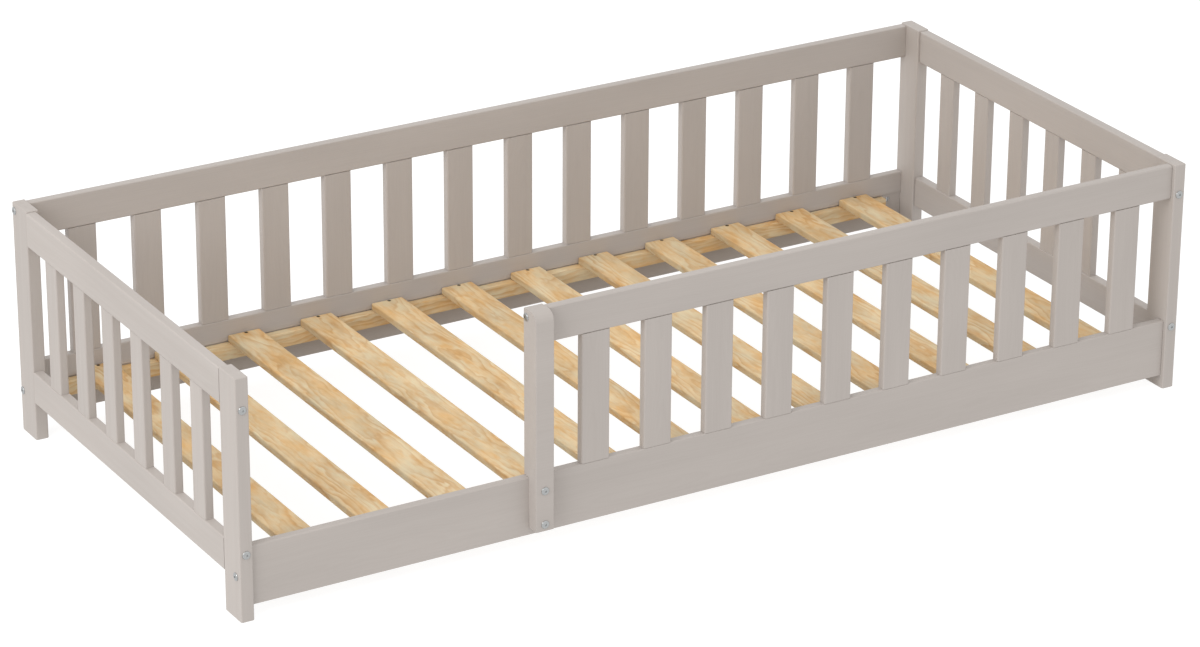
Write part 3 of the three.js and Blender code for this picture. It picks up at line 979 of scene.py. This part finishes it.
class BED_OT_entry_post(bpy.types.Operator):
    """Add the entry post, nosed at its top and notched over the front board"""

    bl_idname = "bed.entry_post"
    bl_label = "Entry Post"
    bl_options = {"REGISTER", "UNDO"}

    def execute(self, context):
        wood = settings("wood")
        low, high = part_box("entry_post")
        board_low, board_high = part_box("front_side_board")
        middle = (low + high) / 2
        play = wood.mortise_play
        nose, heel = wood.nose_radius, wood.heel_radius
        outline = [
            (low.y, low.z),
            (board_low.y - play, low.z),
            (board_low.y - play, board_high.z + play),
            (high.y, board_high.z + play),
        ]
        outline += quarter(high.y - heel, high.z - heel, heel, 0)
        outline += quarter(low.y + nose, high.z - nose, nose, 1, 2 * ARC_STEPS)
        outline = [(y - middle.y, z - middle.z) for y, z in outline]
        mesh = to_mesh(
            prism(outline, high.x - low.x, (wood.entry_ease, wood.entry_ease)), "entry_post_board"
        )
        piece = lay("entry_post_board", mesh, middle, "X", bolt_holes(low, high))
        painted(piece, "entry_post")
        return {"FINISHED"}


# ---------------------------------------------------------------------------
# Slatted base
# ---------------------------------------------------------------------------


def slat_nodes():
    return sorted(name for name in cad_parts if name.startswith("slat_"))


def screw_places(node):
    """Where a slat's two screws go in, on its upper face."""
    low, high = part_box(node)
    fittings = settings("fittings")
    x = (low.x + high.x) / 2 + fittings.screw_offset
    inset = fittings.screw_inset
    return [Vector((x, low.y + inset, high.z)), Vector((x, high.y - inset, high.z))]


def screw_profile(fittings):
    """A countersunk screw's outline as (radius, z), head up, with its face at z = 0."""
    head = fittings.screw_radius
    shank = head / 2
    cone = head - shank
    tip = 2 * shank
    rim = 0.25 * MM
    return [
        (0, -fittings.screw_length),
        (shank, tip - fittings.screw_length),
        (shank, -cone),
        (head, -rim),
        (head, 0),
        (0, 0),
    ]


class BED_OT_slat_base(bpy.types.Operator):
    """Add the two ledgers and the pine slats that lie on them"""

    bl_idname = "bed.slat_base"
    bl_label = "Slatted Base"
    bl_options = {"REGISTER", "UNDO"}

    def execute(self, context):
        wood, fittings = settings("wood"), settings("fittings")
        for node in ("front_ledger", "back_ledger"):
            low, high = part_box(node)
            eases = (wood.end_ease, wood.end_ease)
            pilots = [
                countersink(place, fittings) for slat in slat_nodes()
                for place in screw_places(slat) if low.y < place.y < high.y
            ]
            piece = stick(node + "_strip", low, high, "X", wood.ledger_ease, eases, pilots)
            finish_piece(piece, material("ledger_pine"), "pine", node)
        for node in slat_nodes():
            low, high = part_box(node)
            eases = (wood.slat_ease, wood.slat_ease)
            cutters = [countersink(place, fittings) for place in screw_places(node)]
            piece = stick(node + "_board", low, high, "Y", wood.slat_round, eases, cutters)
            finish_piece(piece, material("slat_pine"), "pine", node)
        return {"FINISHED"}


def countersink(place, fittings):
    """A cutter for a screw's hole, a little wider than its head at the slat's face."""
    play = 0.3 * MM
    head = fittings.screw_radius + play
    shank = fittings.screw_radius / 2 + play
    depth = fittings.screw_sink
    bottom = -fittings.screw_length - depth - play
    profile = [
        (0, bottom), (shank, bottom),
        (shank, shank - head - depth), (head, -depth), (head, depth + play), (0, depth + play),
    ]
    bm = turned(profile, SMALL_ROUND_STEPS)
    bm.transform(Matrix.Translation(place))
    return bm


# ---------------------------------------------------------------------------
# Fittings
# ---------------------------------------------------------------------------


def cut_mesh(bm, cutters, name):
    """A mesh with its cuts made, for a fitting that is used more than once."""
    piece = add_object(name, to_mesh(bm, name), Matrix.Identity(4))
    for cutter in cutters:  # one at a time, because they may cross
        carve(piece, [cutter])
    mesh = piece.data
    bpy.data.objects.remove(piece)
    return mesh


def bolt_mesh(length, fittings):
    """A bolt with a low domed head and a hexagon socket. Its head seats at z = 0."""
    head, shank = fittings.head_radius, fittings.shank_radius
    rim, top = fittings.head_rim, fittings.head_height
    land = 4.2 * MM  # the flat round the socket
    chamfer = 0.6 * MM
    edge = 0.2 * MM
    dome = [
        (land + (head - land) * math.cos(a), rim + (top - rim) * math.sin(a))
        for a in [math.pi / 2 * i / DOME_STEPS for i in range(DOME_STEPS + 1)]
    ]
    profile = [(0, -length), (shank - chamfer, -length), (shank, chamfer - length)]
    profile += [(shank, 0), (head - edge, 0), (head, edge)] + dome + [(0, top)]
    corner = fittings.socket_width / math.sqrt(3)
    above = 1 * MM
    socket = turned(
        [(0, -fittings.socket_depth - corner / 4), (corner, -fittings.socket_depth),
         (corner, above), (0, above)], steps=6,
    )
    socket.transform(Matrix.Translation((0, 0, top)))
    return cut_mesh(turned(profile), [socket], f"bolt_{length / MM:.0f}")


class BED_OT_connector_bolts(bpy.types.Operator):
    """Add the connector bolts, each in its drilled hole"""

    bl_idname = "bed.connector_bolts"
    bl_label = "Connector Bolts"
    bl_options = {"REGISTER", "UNDO"}

    def execute(self, context):
        fittings = settings("fittings")
        meshes = {}
        for number, bolt in enumerate(all_bolts()):
            key = round(bolt.length / MM)
            if key not in meshes:
                meshes[key] = bolt_mesh(bolt.length, fittings)
            turn = (-bolt.inward).to_track_quat("Z", "Y").to_matrix().to_4x4()
            spin = Matrix.Rotation(number * SOCKET_SPIN, 4, "Z")
            matrix = Matrix.Translation(bolt.seat) @ turn @ spin
            piece = add_object(bolt.name + "_steel", meshes[key], matrix)
            nodes = [bolt.name] if bolt.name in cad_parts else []
            finish_piece(piece, material("bright_zinc"), "zinc", *nodes)
        return {"FINISHED"}


class BED_OT_barrel_nuts(bpy.types.Operator):
    """Add the slotted barrel nuts inside the side boards"""

    bl_idname = "bed.barrel_nuts"
    bl_label = "Barrel Nuts"
    bl_options = {"REGISTER", "UNDO"}

    def execute(self, context):
        fittings = settings("fittings")
        mesh = None
        for bolt in all_bolts():
            if not bolt.has_nut:
                continue
            middle, out, length = nut_place(bolt)
            mesh = mesh or nut_mesh(length, fittings)
            turn = out.to_track_quat("Z", "X").to_matrix().to_4x4()
            name = bolt.name.replace("_bolt", "_nut")
            piece = add_object(name, mesh, Matrix.Translation(middle) @ turn)
            finish_piece(piece, material("bright_zinc"), "zinc")
        return {"FINISHED"}


def nut_mesh(length, fittings):
    """A barrel nut along Z, with a screwdriver slot and a cross hole."""
    radius, half, chamfer = fittings.nut_radius, length / 2, 0.4 * MM
    profile = [
        (0, -half), (radius - chamfer, -half), (radius, chamfer - half),
        (radius, half - chamfer), (radius - chamfer, half), (0, half),
    ]
    slot_width, slot_round, slot_depth = 1.2 * MM, 0.2 * MM, 1 * MM
    slot = prism(rounded_rectangle(3 * radius, slot_width, slot_round), 2 * slot_depth)
    slot.transform(Matrix.Translation((0, 0, half)) @ Matrix.Rotation(RECESS_TURN, 4, "Z"))
    hole = turned(
        [(0, -2 * radius), (fittings.shank_radius, -2 * radius),
         (fittings.shank_radius, 2 * radius), (0, 2 * radius)], SMALL_ROUND_STEPS,
    )
    hole.transform(Matrix.Rotation(math.pi / 2, 4, "Y"))
    return cut_mesh(turned(profile), [slot, hole], "barrel_nut")


class BED_OT_slat_screws(bpy.types.Operator):
    """Add a countersunk screw at each end of every slat"""

    bl_idname = "bed.slat_screws"
    bl_label = "Slat Screws"
    bl_options = {"REGISTER", "UNDO"}

    def execute(self, context):
        fittings = settings("fittings")
        recess = [
            cross_arm(RECESS_TURN, 1.2 * MM, fittings),
            cross_arm(RECESS_TURN + math.pi / 2, 1.25 * MM, fittings),
        ]
        body = turned(screw_profile(fittings), SMALL_ROUND_STEPS)
        mesh = cut_mesh(body, recess, "slat_screw")
        for node in slat_nodes():
            for place, end in zip(screw_places(node), ("front", "back")):
                sunk = place - Vector((0, 0, fittings.screw_sink))
                spin = Matrix.Rotation(place.x * SCREW_SPIN, 4, "Z")
                piece = add_object(
                    f"{node}_{end}_screw", mesh, Matrix.Translation(sunk) @ spin
                )
                finish_piece(piece, material("dull_screw"), "zinc")
        return {"FINISHED"}


def cross_arm(angle, depth, fittings):
    """A cutter for one arm of a screw's cross recess."""
    x = fittings.screw_radius * 0.55  # each arm stops well short of the head's rim
    y = 0.35 * MM
    arm = prism([(-x, -y), (x, -y), (x, y), (-x, y)], 2 * depth)
    arm.transform(Matrix.Rotation(angle, 4, "Z"))
    return arm


# ---------------------------------------------------------------------------
# Stage
# ---------------------------------------------------------------------------


class BED_OT_stage(bpy.types.Operator):
    """Add the floor, the white surround, the soft light and the camera"""

    bl_idname = "bed.stage"
    bl_label = "Stage"
    bl_options = {"REGISTER", "UNDO"}

    def execute(self, context):
        studio = settings("studio")
        add_floor()
        add_painted_shade()
        white_surround(context.scene, studio)
        soft_light("key_light", KEY_PLACE, KEY_SIZE, studio.key)
        add_camera(context.scene, studio)
        context.scene.view_settings.view_transform = "Standard"
        return {"FINISHED"}


def level_sheet(name, low, high, z, surface):
    """A flat rectangle for the stage, between two corners."""
    bm = bmesh.new()
    corners = ((low.x, low.y), (high.x, low.y), (high.x, high.y), (low.x, high.y))
    bm.faces.new([bm.verts.new((x, y, z)) for x, y in corners])
    sheet = add_object(name, to_mesh(bm, name), Matrix.Identity(4))
    sheet.data.materials.append(surface)
    return sheet


def add_floor():
    """A pale floor that looks white and takes soft shadows, but throws no light back."""
    corner = Vector((FLOOR_HALF, FLOOR_HALF))
    floor = level_sheet("studio_floor", -corner, corner, 0, material("pale_floor"))
    floor.visible_diffuse = False
    floor.visible_glossy = False
    floor.visible_shadow = False


def add_painted_shade():
    """Painted shade for the bed's lower inner faces: a grey sheet, hidden from the camera, that
    stands in for the floor under the bed as its pieces see it, grey, lit only between the slats,
    and glowing a little.
    """
    inset = Vector((SHADE_INSET, SHADE_INSET, 0))
    low, high = cad_box[0] + inset, cad_box[1] - inset
    shade = level_sheet("floor_shade", low, high, -1 * MM, material("shaded_floor"))
    shade.visible_camera = False


def white_surround(scene, studio):
    """A white surround that is a little dimmer below the horizon."""
    world = bpy.data.worlds.new("white_surround")
    world.use_nodes = True
    nodes, links = world.node_tree.nodes, world.node_tree.links
    place = nodes.new("ShaderNodeTexCoord")
    parts = nodes.new("ShaderNodeSeparateXYZ")
    level = nodes.new("ShaderNodeMapRange")
    values = {
        "From Min": -HORIZON_BLUR, "From Max": HORIZON_BLUR,
        "To Min": studio.ground, "To Max": studio.sky,
    }
    for name, value in values.items():
        level.inputs[name].default_value = value
    links.new(place.outputs["Generated"], parts.inputs[0])
    links.new(parts.outputs["Z"], level.inputs["Value"])
    background = nodes["Background"]
    background.inputs["Color"].default_value = (1.0, 1.0, 1.0, 1.0)
    links.new(level.outputs["Result"], background.inputs["Strength"])
    scene.world = world


def soft_light(name, place, size, power):
    """A square soft box that faces the bed."""
    data = bpy.data.lights.new(name, "AREA")
    data.shape = "SQUARE"
    data.size = size
    data.energy = power
    low, high = cad_box
    towards = (low + high) / 2 - place
    matrix = towards.to_track_quat("-Z", "Y").to_matrix().to_4x4()
    add_object(name, data, Matrix.Translation(place) @ matrix)


def add_camera(scene, studio):
    data = bpy.data.cameras.new("camera")
    data.lens = studio.lens
    data.sensor_width = SENSOR_WIDTH
    data.clip_end = VIEW_REACH
    turn = (
        Matrix.Rotation(-studio.heading, 4, "Z")
        @ Matrix.Rotation(math.pi / 2 - studio.dip, 4, "X")
        @ Matrix.Rotation(studio.tilt, 4, "Z")
    )
    scene.camera = add_object("camera", data, Matrix.Translation(studio.place) @ turn)


# ---------------------------------------------------------------------------
# Panel and registration
# ---------------------------------------------------------------------------

OPERATORS = (
    BED_OT_corner_posts,
    BED_OT_end_grilles,
    BED_OT_long_rails,
    BED_OT_side_boards,
    BED_OT_side_bars,
    BED_OT_entry_post,
    BED_OT_slat_base,
    BED_OT_slat_screws,
    BED_OT_connector_bolts,
    BED_OT_barrel_nuts,
    BED_OT_stage,
)

GROUPS = {
    "wood": BED_PG_wood,
    "fittings": BED_PG_fittings,
    "finish": BED_PG_finish,
    "studio": BED_PG_studio,
}


class BED_PT_pieces(bpy.types.Panel):
    """Buttons and settings for the bed's pieces"""

    bl_label = "Toddler Bed"
    bl_idname = "BED_PT_pieces"
    bl_space_type = "VIEW_3D"
    bl_region_type = "UI"
    bl_category = "Bed"

    def draw(self, context):
        layout = self.layout
        for operator in OPERATORS:
            layout.operator(operator.bl_idname)
        for name, group in GROUPS.items():
            box = layout.box()
            box.label(text=name.capitalize())
            for key in group.__annotations__:
                box.prop(settings(name), key)


CLASSES = (*GROUPS.values(), *OPERATORS, BED_PT_pieces)


def register():
    for cls in CLASSES:
        bpy.utils.register_class(cls)
    for name, group in GROUPS.items():
        setattr(bpy.types.Scene, "bed_" + name, PointerProperty(type=group))


def unregister():
    for name in GROUPS:
        delattr(bpy.types.Scene, "bed_" + name)
    for cls in reversed(CLASSES):
        bpy.utils.unregister_class(cls)


def main():
    register()
    bpy.ops.bed.corner_posts()
    bpy.ops.bed.end_grilles()
    bpy.ops.bed.long_rails()
    bpy.ops.bed.side_boards()
    bpy.ops.bed.side_bars()
    bpy.ops.bed.entry_post()
    bpy.ops.bed.slat_base()
    bpy.ops.bed.slat_screws()
    bpy.ops.bed.connector_bolts()
    bpy.ops.bed.barrel_nuts()
    bpy.ops.bed.stage()


if __name__ == "__main__":
    main()
